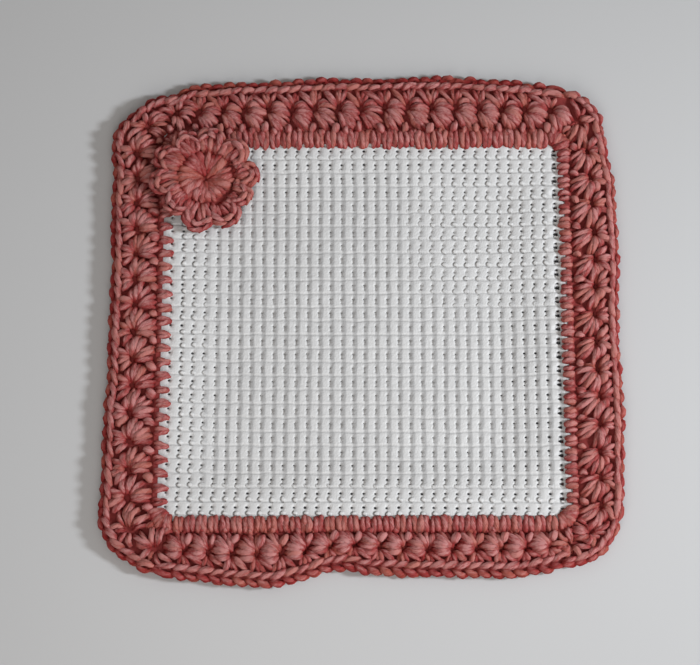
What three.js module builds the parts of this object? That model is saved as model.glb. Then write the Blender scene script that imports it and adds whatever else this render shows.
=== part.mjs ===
// A square jar gripper, lying flat: a piece of ribbed foam grip liner, a crochet border worked through the
// holes along its edge, and a crochet flower sewn on one corner. Millimetres, +Z up, face up. The middle of
// the liner's window is the drawing origin, and +Y points away from the viewer, to the top edge.
import * as THREE from "three";

// Grip liner. Ribs run along Y, and the window is the part of the liner that the border leaves bare.
const RIB_PITCH = 4.13;
const ROW_PITCH = 5.2;
const WINDOW_RIBS = 34;
const WINDOW_ROWS = 27;
const LINER_RIBS = WINDOW_RIBS + 2;
const WINDOW_X = (WINDOW_RIBS * RIB_PITCH) / 2;
const WINDOW_Y = (WINDOW_ROWS * ROW_PITCH) / 2;
const LINER_X = WINDOW_X + RIB_PITCH;
const LINER_Y = WINDOW_Y + ROW_PITCH;
const RIB_THICKNESS = 1.9;
const VALLEY_THICKNESS = 1.0;
const RIB_SHOULDERS = [0.25, 0.75];

// The stitches hold the liner's edge off the table, and it sinks to the table inside the window.
const GRIP_HEIGHT = 1.9;
const SAG_REACH = 24;
const SAG_STATIONS = [0.3, 0.65, 1];

// Crochet border. Each star stitch is four steps long.
const SLOT_CLEARANCE = 0.3;
const SLOT_END_CLEARANCE = 0.9;
const INNER_CORNER_RADIUS = 1.2;
const STEPS_PER_STAR = 4;
const SIDE_STARS = { top: 17, right: 13.5, bottom: 17, left: 13.5 };
const CORNER_STARS = 2;
const SCALLOP = [0, -0.5, 0, -0.5];
const EDGE_HEIGHT = 2.4;
const BASE_SHARE = 0.95;
const BASE_LIP = 0.6;

// Relief of the border's upper face: share of the width from the window outwards, and height at each step.
const RELIEF = [
  { name: "single crochet at the holes", share: 0.05, heights: [5.0, 4.6, 5.0, 4.6] },
  { name: "single crochet legs", share: 0.25, heights: [5.3, 4.9, 5.3, 4.9] },
  { name: "groove under the stars", share: 0.31, heights: [4.4, 4.5, 5.2, 4.5] },
  { name: "star loops", share: 0.42, heights: [5.5, 5.0, 5.5, 5.8] },
  { name: "star eyes", share: 0.56, heights: [3.4, 5.2, 5.7, 5.4] },
  { name: "half double posts", share: 0.7, heights: [5.2, 4.6, 5.2, 4.6] },
  { name: "edge chain, front", share: 0.86, heights: [5.4, 4.9, 5.4, 4.9] },
  { name: "edge chain, back", share: 0.96, heights: [4.6, 4.0, 4.6, 4.0] },
];

// Width of the border, clockwise, seen from above. On a side, along is the share of the way along it, and in
// a corner the share of the quarter turn.
const WIDTHS = [
  { part: "top", along: 0.04, width: 24.4 },
  { part: "top", along: 0.18, width: 25.6 },
  { part: "top", along: 0.43, width: 26.9 },
  { part: "top", along: 0.73, width: 27.6 },
  { part: "top", along: 0.9, width: 25.9 },
  { part: "top", along: 0.99, width: 24.6 },
  { part: "top right", along: 0.18, width: 24.0 },
  { part: "top right", along: 0.42, width: 23.0 },
  { part: "top right", along: 0.55, width: 22.4 },
  { part: "top right", along: 0.78, width: 19.8 },
  { part: "right", along: 0.0, width: 20.0 },
  { part: "right", along: 0.12, width: 22.3 },
  { part: "right", along: 0.29, width: 22.9 },
  { part: "right", along: 0.5, width: 22.0 },
  { part: "right", along: 0.73, width: 22.8 },
  { part: "right", along: 0.95, width: 22.1 },
  { part: "bottom right", along: 0.17, width: 21.1 },
  { part: "bottom right", along: 0.42, width: 20.4 },
  { part: "bottom right", along: 0.94, width: 19.5 },
  { part: "bottom", along: 0.04, width: 21.5 },
  { part: "bottom", along: 0.12, width: 23.2 },
  { part: "bottom", along: 0.37, width: 22.8 },
  { part: "bottom", along: 0.49, width: 22.1 },
  { part: "bottom", along: 0.54, width: 20.4 },
  { part: "bottom", along: 0.59, width: 21.1 },
  { part: "bottom", along: 0.69, width: 25.1 },
  { part: "bottom", along: 0.74, width: 26.8 },
  { part: "bottom", along: 0.84, width: 25.8 },
  { part: "bottom", along: 0.94, width: 24.2 },
  { part: "bottom left", along: 0.16, width: 22.9 },
  { part: "bottom left", along: 0.38, width: 22.5 },
  { part: "bottom left", along: 0.63, width: 23.9 },
  { part: "bottom left", along: 0.86, width: 24.6 },
  { part: "left", along: 0.05, width: 24.0 },
  { part: "left", along: 0.25, width: 23.7 },
  { part: "left", along: 0.36, width: 22.9 },
  { part: "left", along: 0.66, width: 22.5 },
  { part: "left", along: 0.85, width: 23.0 },
  { part: "left", along: 0.94, width: 22.5 },
  { part: "left", along: 0.99, width: 23.8 },
  { part: "top left", along: 0.18, width: 23.5 },
  { part: "top left", along: 0.44, width: 21.6 },
  { part: "top left", along: 0.7, width: 21.5 },
  { part: "top left", along: 0.93, width: 20.9 },
];

// Flower. Petals: direction in degrees from +X towards +Y, and reach from the flower's middle.
const FLOWER_X = -58.8;
const FLOWER_Y = 56.6;
const FLOWER_STEPS = 72;
const SPOKES = 12;
const SPOKE_RELIEF = 0.35;
const NOTCH_DEPTH = 2.6;
const PETALS = [
  { toward: 3, reach: 20.6 },
  { toward: 43, reach: 19.6 },
  { toward: 81, reach: 18.6 },
  { toward: 118, reach: 19.6 },
  { toward: 152, reach: 20.2 },
  { toward: 190, reach: 20.0 },
  { toward: 226, reach: 18.8 },
  { toward: 262, reach: 20.6 },
  { toward: 308, reach: 20.4 },
];

// Height of the flower's upper face over what it lies on. Rings of the disc have a radius in millimetres,
// and rings of the petals a share of the reach.
const DISC_RINGS = [
  { radius: 1.2, height: 2.8, spokes: 0 },
  { radius: 3.0, height: 3.9, spokes: 0.6 },
  { radius: 6.5, height: 4.3, spokes: 1 },
  { radius: 8.8, height: 3.7, spokes: 1 },
  { radius: 10.2, height: 2.7, spokes: 0 },
];
const PETAL_RINGS = [
  { share: 0.68, height: 3.2 },
  { share: 0.86, height: 3.6 },
  { share: 0.95, height: 2.9 },
];
const RIM_HEIGHT = 1.5;
const UNDER_RINGS = [0.94, 0.7, 0.35];
const CENTRE_HEIGHT = 2.2;

// The flower bends down from the border on to the liner over this length.
const BORDER_REST = 6.2;
const LINER_REST = RIB_THICKNESS + 0.45;
const DROOP_START = 0.8;
const DROOP_LENGTH = 9;

const YARN = new THREE.MeshStandardMaterial({ color: 0xa35a57, roughness: 0.95, metalness: 0 });
const FLOWER_YARN = new THREE.MeshStandardMaterial({ color: 0xa35a57, roughness: 0.95, metalness: 0 });
const FOAM = new THREE.MeshStandardMaterial({ color: 0xe6e6e4, roughness: 0.5, metalness: 0 });

function smooth(value) {
  const t = THREE.MathUtils.clamp(value, 0, 1);
  return t * t * (3 - 2 * t);
}

// Height of the liner's underside.
function linerBase(x, y) {
  const inX = smooth((WINDOW_X - Math.abs(x)) / SAG_REACH);
  const inY = smooth((WINDOW_Y - Math.abs(y)) / SAG_REACH);
  return GRIP_HEIGHT * (1 - inX * inY);
}

// Stations from edge to edge of the liner, close together where it sinks.
function linerStations(half, window) {
  const inner = SAG_STATIONS.map((share) => window - share * SAG_REACH);
  const right = [...inner.reverse(), window, half];
  const left = right.map((value) => -value).reverse();
  return [...left, ...right];
}

// Joins each ring of points to the next with triangles. The rings all have as many points.
function wrapRings(rings, joinEnds) {
  const size = rings[0].length;
  const points = rings.flat();
  const index = [];
  const count = joinEnds ? rings.length : rings.length - 1;
  for (let i = 0; i < count; i += 1) {
    const here = i * size;
    const next = ((i + 1) % rings.length) * size;
    for (let j = 0; j < size; j += 1) {
      const k = (j + 1) % size;
      index.push(here + j, here + k, next + k);
      index.push(here + j, next + k, next + j);
    }
  }
  return { points, index };
}

function solid(name, { points, index }, material) {
  const geometry = new THREE.BufferGeometry().setFromPoints(points);
  geometry.setIndex(index);
  geometry.computeVertexNormals();
  const mesh = new THREE.Mesh(geometry, material);
  mesh.name = name;
  return mesh;
}

// One cross-section of the liner as x and thickness pairs: the ribs from left to right, then the flat
// underside from right to left, with a point under each valley.
function linerProfile() {
  const profile = [];
  const valleys = [];
  for (let rib = 0; rib < LINER_RIBS; rib += 1) {
    const start = rib * RIB_PITCH - LINER_X;
    valleys.push(start);
    profile.push([start, VALLEY_THICKNESS]);
    for (const shoulder of RIB_SHOULDERS) {
      profile.push([start + shoulder * RIB_PITCH, RIB_THICKNESS]);
    }
  }
  profile.push([LINER_X, VALLEY_THICKNESS], [LINER_X, 0]);
  for (const x of valleys.reverse()) {
    profile.push([x, 0]);
  }
  return profile;
}

// Triangles that close one end of the liner, rib by rib, as numbers of points in the cross-section.
function linerCap(profileSize) {
  const triangles = [];
  const perRib = RIB_SHOULDERS.length + 1;
  for (let rib = 0; rib < LINER_RIBS; rib += 1) {
    const base = profileSize - 1 - rib;
    const crown = rib * perRib;
    triangles.push([base, base - 1, crown + perRib]);
    for (let i = perRib; i > 0; i -= 1) {
      triangles.push([base, crown + i, crown + i - 1]);
    }
  }
  return triangles;
}

function makeLiner() {
  const profile = linerProfile();
  const stations = linerStations(LINER_Y, WINDOW_Y);
  const rings = stations.map((y) =>
    profile.map(([x, thickness]) => new THREE.Vector3(x, y, linerBase(x, y) + thickness)),
  );
  const skin = wrapRings(rings, false);
  const last = (stations.length - 1) * profile.length;
  for (const [a, b, c] of linerCap(profile.length)) {
    skin.index.push(a, b, c);
    skin.index.push(last + a, last + c, last + b);
  }
  return solid("liner", skin, FOAM);
}

// The eight parts of the ring, clockwise from the top left corner, with their length in stars.
function ringParts() {
  const x = WINDOW_X - INNER_CORNER_RADIUS;
  const y = WINDOW_Y - INNER_CORNER_RADIUS;
  return [
    { name: "top", stars: SIDE_STARS.top, from: [-x, y], to: [x, y], facing: 90 },
    { name: "top right", stars: CORNER_STARS, from: [x, y], to: [x, y], facing: 90 },
    { name: "right", stars: SIDE_STARS.right, from: [x, y], to: [x, -y], facing: 0 },
    { name: "bottom right", stars: CORNER_STARS, from: [x, -y], to: [x, -y], facing: 0 },
    { name: "bottom", stars: SIDE_STARS.bottom, from: [x, -y], to: [-x, -y], facing: -90 },
    { name: "bottom left", stars: CORNER_STARS, from: [-x, -y], to: [-x, -y], facing: -90 },
    { name: "left", stars: SIDE_STARS.left, from: [-x, -y], to: [-x, y], facing: -180 },
    { name: "top left", stars: CORNER_STARS, from: [-x, y], to: [-x, y], facing: -180 },
  ];
}

const PARTS = ringParts();
const TOTAL_STARS = PARTS.reduce((sum, part) => sum + part.stars, 0);

// The place of a width in the table, in stars from the start of the ring.
const WIDTH_STOPS = WIDTHS.map((row) => {
  const number = PARTS.findIndex((part) => part.name === row.part);
  const before = PARTS.slice(0, number).reduce((sum, part) => sum + part.stars, 0);
  return { star: before + row.along * PARTS[number].stars, width: row.width };
});

function borderWidth(star) {
  const after = WIDTH_STOPS.findIndex((stop) => stop.star > star);
  const next = WIDTH_STOPS[Math.max(after, 0)];
  const last = WIDTH_STOPS.at(after < 0 ? -1 : after - 1);
  const span = (next.star - last.star + TOTAL_STARS) % TOTAL_STARS;
  const way = (star - last.star + TOTAL_STARS) % TOTAL_STARS;
  return THREE.MathUtils.lerp(last.width, next.width, smooth(way / span));
}

// Where the ring stands at a star: a point on the window's inner line, and the direction outwards.
function ringFrame(star) {
  let left = star;
  const part = PARTS.find((candidate) => {
    if (left < candidate.stars) {
      return true;
    }
    left -= candidate.stars;
    return false;
  });
  const way = left / part.stars;
  const isCorner = part.name.includes(" ");
  const angle = THREE.MathUtils.degToRad(part.facing - (isCorner ? 90 * way : 0));
  return {
    x: THREE.MathUtils.lerp(part.from[0], part.to[0], way),
    y: THREE.MathUtils.lerp(part.from[1], part.to[1], way),
    outX: Math.cos(angle),
    outY: Math.sin(angle),
  };
}

// Distance from the window's inner line to the end of the slot that holds the liner's edge.
function slotDepth(frame) {
  const acrossX = (LINER_X + SLOT_END_CLEARANCE - Math.abs(frame.x)) / Math.abs(frame.outX);
  const acrossY = (LINER_Y + SLOT_END_CLEARANCE - Math.abs(frame.y)) / Math.abs(frame.outY);
  return Math.min(acrossX, acrossY) - INNER_CORNER_RADIUS;
}

// One cross-section of the border, as distances outwards from the window and heights.
function borderProfile(width, step, depth) {
  const low = GRIP_HEIGHT - SLOT_CLEARANCE;
  const high = GRIP_HEIGHT + RIB_THICKNESS + SLOT_CLEARANCE;
  const relief = RELIEF.map((row) => [row.share * width, row.heights[step]]);
  return [
    [depth, high],
    [depth, low],
    [0, low],
    [BASE_LIP, 0],
    [BASE_SHARE * width, 0],
    [width + SCALLOP[step], EDGE_HEIGHT],
    ...relief.reverse(),
    [0, high],
  ];
}

function makeBorder() {
  const rings = [];
  for (let i = 0; i < TOTAL_STARS * STEPS_PER_STAR; i += 1) {
    const star = i / STEPS_PER_STAR;
    const frame = ringFrame(star);
    const profile = borderProfile(borderWidth(star), i % STEPS_PER_STAR, slotDepth(frame));
    rings.push(
      profile.map(([across, height]) => {
        const reach = INNER_CORNER_RADIUS + across;
        return new THREE.Vector3(frame.x + frame.outX * reach, frame.y + frame.outY * reach, height);
      }),
    );
  }
  return solid("border", wrapRings(rings, true), YARN);
}

// Height of what the flower lies on, with its clearance: the border, then down to the liner.
function flowerRest(x, y) {
  const inX = smooth((x + WINDOW_X - DROOP_START) / DROOP_LENGTH);
  const inY = smooth((WINDOW_Y - y - DROOP_START) / DROOP_LENGTH);
  return THREE.MathUtils.lerp(BORDER_REST, linerBase(x, y) + LINER_REST, inX * inY);
}

// Reach of the scalloped rim, round at the petals and notched between them.
function flowerReach(angle) {
  const after = PETALS.findIndex((petal) => petal.toward > angle);
  const next = PETALS[Math.max(after, 0)];
  const last = PETALS.at(after < 0 ? -1 : after - 1);
  const span = (next.toward - last.toward + 360) % 360;
  const way = ((angle - last.toward + 360) % 360) / span;
  const notch = NOTCH_DEPTH * (1 - Math.abs(Math.cos(Math.PI * way)));
  return THREE.MathUtils.lerp(last.reach, next.reach, way) - notch;
}

// One ring of the flower: radius and height are worked out for each direction in degrees.
function flowerRing(radiusAt, heightAt) {
  const ring = [];
  for (let i = 0; i < FLOWER_STEPS; i += 1) {
    const degrees = (360 * i) / FLOWER_STEPS;
    const angle = THREE.MathUtils.degToRad(degrees);
    const x = FLOWER_X + radiusAt(degrees) * Math.cos(angle);
    const y = FLOWER_Y + radiusAt(degrees) * Math.sin(angle);
    ring.push(new THREE.Vector3(x, y, flowerRest(x, y) + heightAt(angle)));
  }
  return ring;
}

function makeFlower() {
  const rings = [];
  for (const share of [...UNDER_RINGS].reverse()) {
    rings.push(flowerRing((degrees) => share * flowerReach(degrees), () => 0));
  }
  rings.push(flowerRing(flowerReach, () => RIM_HEIGHT));
  for (const { share, height } of [...PETAL_RINGS].reverse()) {
    rings.push(flowerRing((degrees) => share * flowerReach(degrees), () => height));
  }
  for (const { radius, height, spokes } of [...DISC_RINGS].reverse()) {
    const relief = SPOKE_RELIEF * spokes;
    rings.push(flowerRing(() => radius, (angle) => height + relief * Math.cos(SPOKES * angle)));
  }
  const skin = wrapRings(rings, false);
  const rest = flowerRest(FLOWER_X, FLOWER_Y);
  const under = skin.points.push(new THREE.Vector3(FLOWER_X, FLOWER_Y, rest)) - 1;
  const over = skin.points.push(new THREE.Vector3(FLOWER_X, FLOWER_Y, rest + CENTRE_HEIGHT)) - 1;
  const last = (rings.length - 1) * FLOWER_STEPS;
  for (let i = 0; i < FLOWER_STEPS; i += 1) {
    const k = (i + 1) % FLOWER_STEPS;
    skin.index.push(under, k, i);
    skin.index.push(over, last + i, last + k);
  }
  return solid("flower", skin, FLOWER_YARN);
}

const gripper = new THREE.Group();
gripper.add(makeLiner(), makeBorder(), makeFlower());

// The part's own origin is the middle of its footprint, on the table.
const box = new THREE.Box3().setFromObject(gripper);
const middle = box.getCenter(new THREE.Vector3());
gripper.position.set(-middle.x, -middle.y, -box.min.z);

export default gripper;
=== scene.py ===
import math
from collections import namedtuple

import bpy
import numpy as np
from mathutils import Matrix, Vector


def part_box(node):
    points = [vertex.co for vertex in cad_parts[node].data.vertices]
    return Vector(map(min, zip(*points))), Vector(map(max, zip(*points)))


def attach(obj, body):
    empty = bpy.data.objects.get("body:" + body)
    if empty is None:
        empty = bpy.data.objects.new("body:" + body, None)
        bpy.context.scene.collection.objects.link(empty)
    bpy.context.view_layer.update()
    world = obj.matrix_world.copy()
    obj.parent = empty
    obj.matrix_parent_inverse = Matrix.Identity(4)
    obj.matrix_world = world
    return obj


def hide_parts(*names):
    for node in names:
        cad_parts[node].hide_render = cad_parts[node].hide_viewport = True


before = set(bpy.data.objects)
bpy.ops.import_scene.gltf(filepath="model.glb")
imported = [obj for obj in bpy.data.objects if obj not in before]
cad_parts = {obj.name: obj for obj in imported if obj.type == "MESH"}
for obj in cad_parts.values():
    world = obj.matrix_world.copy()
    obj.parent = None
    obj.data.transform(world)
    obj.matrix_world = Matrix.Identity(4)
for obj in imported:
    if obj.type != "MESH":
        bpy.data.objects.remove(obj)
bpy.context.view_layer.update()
MM = 0.001
RNG = np.random.default_rng(41)

# Liner and its window
RIB_PITCH = 4.13
ROW_PITCH = 5.2
WINDOW_RIBS = 34
WINDOW_ROWS = 27
WINDOW_X = WINDOW_RIBS * RIB_PITCH / 2
WINDOW_Y = WINDOW_ROWS * ROW_PITCH / 2
LINER_X = WINDOW_X + RIB_PITCH
LINER_Y = WINDOW_Y + ROW_PITCH
GRIP_HEIGHT = 1.9
SAG_REACH = 24.0
RIB_THICKNESS = 1.9
LINER_LOW, LINER_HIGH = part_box("liner")
CENTRE = (LINER_LOW + LINER_HIGH) / 2
CENTRE.z = 0.0

# Border ring: its sides and corners, clockwise, with their length in ring steps and the way that they face
INNER_CORNER_RADIUS = 1.2
Part = namedtuple("Part", "name steps facing")
RING_PARTS = [
    Part("top", 17.0, 90), Part("top right", 2.0, 90), Part("right", 13.5, 0), Part("bottom right", 2.0, 0),
    Part("bottom", 17.0, -90), Part("bottom left", 2.0, -90), Part("left", 13.5, 180),
    Part("top left", 2.0, 180),
]
RING_STEPS = sum(part.steps for part in RING_PARTS)

# Width of the border, clockwise: share of the way along a side or round a corner, and width
WIDTHS = [
    ("top", 0.04, 24.4), ("top", 0.18, 25.6), ("top", 0.43, 26.9), ("top", 0.73, 27.6),
    ("top", 0.9, 25.9), ("top", 0.99, 24.6),
    ("top right", 0.18, 24.0), ("top right", 0.42, 23.0), ("top right", 0.55, 22.4), ("top right", 0.78, 19.8),
    ("right", 0.0, 20.0), ("right", 0.12, 22.3), ("right", 0.29, 22.9), ("right", 0.5, 22.0),
    ("right", 0.73, 22.8), ("right", 0.95, 22.1),
    ("bottom right", 0.17, 21.1), ("bottom right", 0.42, 20.4), ("bottom right", 0.94, 19.5),
    ("bottom", 0.04, 21.5), ("bottom", 0.12, 23.2), ("bottom", 0.37, 22.8), ("bottom", 0.49, 22.1),
    ("bottom", 0.54, 20.4), ("bottom", 0.59, 21.1), ("bottom", 0.69, 25.1), ("bottom", 0.74, 26.8),
    ("bottom", 0.84, 25.8), ("bottom", 0.94, 24.2),
    ("bottom left", 0.16, 22.9), ("bottom left", 0.38, 22.5), ("bottom left", 0.63, 23.9),
    ("bottom left", 0.86, 24.6),
    ("left", 0.05, 24.0), ("left", 0.25, 23.7), ("left", 0.36, 22.9), ("left", 0.66, 22.5),
    ("left", 0.85, 23.0), ("left", 0.94, 22.5), ("left", 0.99, 23.8),
    ("top left", 0.18, 23.5), ("top left", 0.44, 21.6), ("top left", 0.7, 21.5), ("top left", 0.93, 20.9),
]

# Eyes of the star stitches on each side or corner: the first and the last in ring steps, how many, how far
# their row runs ahead of even steps in the middle, and how far out they are as a share of the border's
# width
Eyes = namedtuple("Eyes", "part first last count lead out")
EYES = [
    Eyes("top", 0.94, 17.0, 16, -0.06, 0.542), Eyes("top right", 18.05, 18.05, 1, 0.0, 0.6),
    Eyes("right", 19.1, 32.34, 14, 0.15, 0.615), Eyes("bottom right", 33.3, 34.2, 2, 0.0, 0.6),
    Eyes("bottom", 34.99, 50.92, 16, 0.0, 0.565), Eyes("bottom left", 52.0, 53.0, 2, 0.0, 0.6),
    Eyes("left", 53.97, 66.8, 14, 0.14, 0.595), Eyes("top left", 67.85, 68.9, 2, 0.0, 0.6),
]

# Stitches of the first round on each side: how many, their pitch and their shift along the side; where they
# leave the liner and where they end, outwards from the window; how far their two legs stand apart at both
# ends, as a share of the hole pitch; their radius; where the fans end above them; and how loosely they and
# the chain lie. Then the edge chain: its pitch, how far in its front legs lie and how much they slant, and
# how far in its back legs lie, how much they slant, how much they bulge and how high they stand. Last the
# size of the eyes and the thickness of the stars' leaves
Side = namedtuple("Side", (
    "holes pitch shift start end near far radius fan loose "
    "chain edge slant back rear bump stand eye thick"
))
SIDES = {
    "top": Side(
        WINDOW_RIBS + 1, RIB_PITCH, 0.0, -0.8, 5.6, 0.21, 0.24, 1.15, 5.2, 0.5,
        4.3, 3.9, 0.9, 0.8, 0.0, 0.65, 0.78, 0.85, 1.12,
    ),
    "right": Side(
        WINDOW_ROWS, ROW_PITCH, 2.1, 1.7, 5.0, 0.20, 0.20, 1.18, 5.3, 0.22,
        5.25, 2.6, 0.3, 1.0, 0.0, 0.35, 0.95, 0.75, 1.08,
    ),
    "bottom": Side(
        WINDOW_RIBS + 1, RIB_PITCH, 0.0, 1.1, 6.4, 0.19, 0.21, 1.2, 6.2, 0.26,
        4.3, 4.2, 1.2, 1.7, 0.9, 0.15, 1.0, 0.7, 1.12,
    ),
    "left": Side(
        WINDOW_ROWS, ROW_PITCH, 1.6, 0.3, 4.8, 0.05, 0.17, 1.0, 5.5, 0.28,
        5.25, 2.9, 1.2, 1.2, 0.5, 0.3, 0.85, 1.0, 1.2,
    ),
}

# What differs at the corners. Their first round is worked like the side before them, and their edge chain
# like the left or the right side that they touch
CORNER_HOLES = 4
CORNER_LEGS = {"start": 0.4, "near": 0.2, "far": 0.24, "loose": 0.45}
CORNER_CHAIN = {"chain": 4.1, "loose": 0.35}

# Yarn: a strand's radius, its plies and their twist, how rough it is, how far strands differ in thickness
# and how low they may lie; and the rings along a strand and the sides round it, in front and at the back
YARN_RADIUS = 0.95
PLIES = 3
PLY_RELIEF = 0.11
TWIST_LENGTH = 17.0
ROUGHNESS = 0.07
RADIUS_SPREAD = 0.15
TABLE_GAP = 0.02
FRONT_RINGS = 11
FRONT_SIDES = 12
BACK_RINGS = 8
BACK_SIDES = 8

# Flower: middle, petals (direction in degrees and reach) and what it lies on
FLOWER_X = -58.8
FLOWER_Y = 56.6
SPOKES = 12
NOTCH_DEPTH = 2.6
PETALS = [
    (3, 20.9), (43, 19.6), (81, 18.6), (118, 19.6), (152, 20.2), (190, 20.8), (226, 19.8), (259, 21.8),
    (302, 20.8), (336, 18.9),
]
BORDER_REST = 6.2
LINER_REST = RIB_THICKNESS + 0.45
DROOP_START = 0.8
DROOP_LENGTH = 9.0


# Camera: 18 degrees off the vertical, from 0.93 m
CAMERA_TILT = math.radians(18)
CAMERA_DISTANCE = 928.0
CAMERA_X = -1.35
CAMERA_TARGET = (-5.35, -1.5, 0.0)
CAMERA_LENS = 131.1
SENSOR_WIDTH = 36.0
CLIP_START = 0.05


def metres(x, y, z):
    return Vector((x * MM, y * MM, z * MM)) + CENTRE


def link(obj):
    bpy.context.scene.collection.objects.link(obj)
    return obj


def add_camera():
    data = bpy.data.cameras.new("camera")
    data.lens = CAMERA_LENS
    data.sensor_width = SENSOR_WIDTH
    data.clip_start = CLIP_START
    camera = link(bpy.data.objects.new("camera", data))
    place = metres(
        CAMERA_X, -CAMERA_DISTANCE * math.sin(CAMERA_TILT), CAMERA_DISTANCE * math.cos(CAMERA_TILT)
    )
    ahead = (metres(*CAMERA_TARGET) - place).normalized()
    right = ahead.cross(Vector((0, 1, 0))).normalized()
    turn = Matrix((right, right.cross(ahead), -ahead)).transposed().to_4x4()
    camera.matrix_world = Matrix.Translation(place) @ turn
    bpy.context.scene.camera = camera


add_camera()


# Shape helpers


def smooth(value):
    t = np.clip(value, 0.0, 1.0)
    return t * t * (3 - 2 * t)


def fade(distance, start, length):
    """0 up to a start, then rising smoothly to 1 over a length."""
    return smooth((distance - start) / length)


def between(at, stops, period):
    """The two stops of a closed row that each place lies between, and its share of the way."""
    after = np.searchsorted(stops, at, side="right") % len(stops)
    before = after - 1
    span = np.mod(stops[after] - stops[before], period)
    return before, after, np.mod(at - stops[before], period) / span


def liner_base(x, y):
    """Height of the liner's underside: held up at the stitches, on the table in the middle."""
    in_x = smooth((WINDOW_X - np.abs(x)) / SAG_REACH)
    in_y = smooth((WINDOW_Y - np.abs(y)) / SAG_REACH)
    return GRIP_HEIGHT * (1 - in_x * in_y)


def ring_table():
    """First step of each part of the ring, and its corner points with the way that each part faces."""
    x = WINDOW_X - INNER_CORNER_RADIUS
    y = WINDOW_Y - INNER_CORNER_RADIUS
    corners = [(-x, y), (x, y), (x, -y), (-x, -y)]
    start = 0.0
    starts = {}
    knots = []
    for number, part in enumerate(RING_PARTS):
        starts[part.name] = start
        knots.append((start, *corners[(number + 1) // 2 % 4], part.facing))
        start += part.steps
    knots.append((start, *corners[0], RING_PARTS[0].facing))
    return starts, np.array(knots)


PART_START, KNOTS = ring_table()
PART_STEPS = {part.name: part.steps for part in RING_PARTS}
WIDTH_STEPS = np.array([PART_START[name] + along * PART_STEPS[name] for name, along, _ in WIDTHS])
WIDTH_VALUES = np.array([width for _, _, width in WIDTHS])


def border_width(step):
    before, after, way = between(np.mod(step, RING_STEPS), WIDTH_STEPS, RING_STEPS)
    return WIDTH_VALUES[before] + (WIDTH_VALUES[after] - WIDTH_VALUES[before]) * smooth(way)


def ring_place(line):
    """Turns ring step, distance outwards and height into a place. A corner turns by 90 degrees."""
    s = np.mod(line[..., 0], RING_STEPS)
    number = np.clip(np.searchsorted(KNOTS[:, 0], s, side="right") - 1, 0, len(RING_PARTS) - 1)
    way = (s - KNOTS[number, 0]) / (KNOTS[number + 1, 0] - KNOTS[number, 0])
    x = KNOTS[number, 1] + (KNOTS[number + 1, 1] - KNOTS[number, 1]) * way
    y = KNOTS[number, 2] + (KNOTS[number + 1, 2] - KNOTS[number, 2]) * way
    angle = np.radians(KNOTS[number, 3] - np.where(number % 2 == 1, 90 * way, 0))
    reach = INNER_CORNER_RADIUS + line[..., 1]
    return np.stack([x + np.cos(angle) * reach, y + np.sin(angle) * reach, line[..., 2]], axis=-1)


def spline(points, count):
    """A Catmull-Rom curve through the points."""
    points = np.asarray(points, float)
    padded = np.vstack([2 * points[0] - points[1], points, 2 * points[-1] - points[-2]])
    at = np.linspace(0, len(points) - 1, count)
    number = np.minimum(at.astype(int), len(points) - 2)
    t = (at - number)[:, None]
    a, b, c, d = (padded[number + k] for k in range(4))
    return 0.5 * (2 * b + (c - a) * t + (2 * a - 5 * b + 4 * c - d) * t**2 + (3 * b - a - 3 * c + d) * t**3)


def unit(vectors):
    return vectors / np.maximum(np.linalg.norm(vectors, axis=-1, keepdims=True), 1e-9)


def jitter(size):
    return RNG.uniform(-size, size)


def add_mesh(name, points, faces, material):
    """An object from points in millimetres."""
    mesh = bpy.data.meshes.new(name)
    mesh.from_pydata((points.reshape(-1, 3) * MM + np.array(CENTRE)).tolist(), [], faces)
    mesh.materials.append(material)
    return link(bpy.data.objects.new(name, mesh))


def set_values(mesh, name, values):
    """Stores a number or a vector for each point of a mesh, for its material."""
    kind, field = ("FLOAT", "value") if values.ndim == 1 else ("FLOAT_VECTOR", "vector")
    mesh.attributes.new(name, kind, "POINT").data.foreach_set(field, values.ravel())


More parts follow.
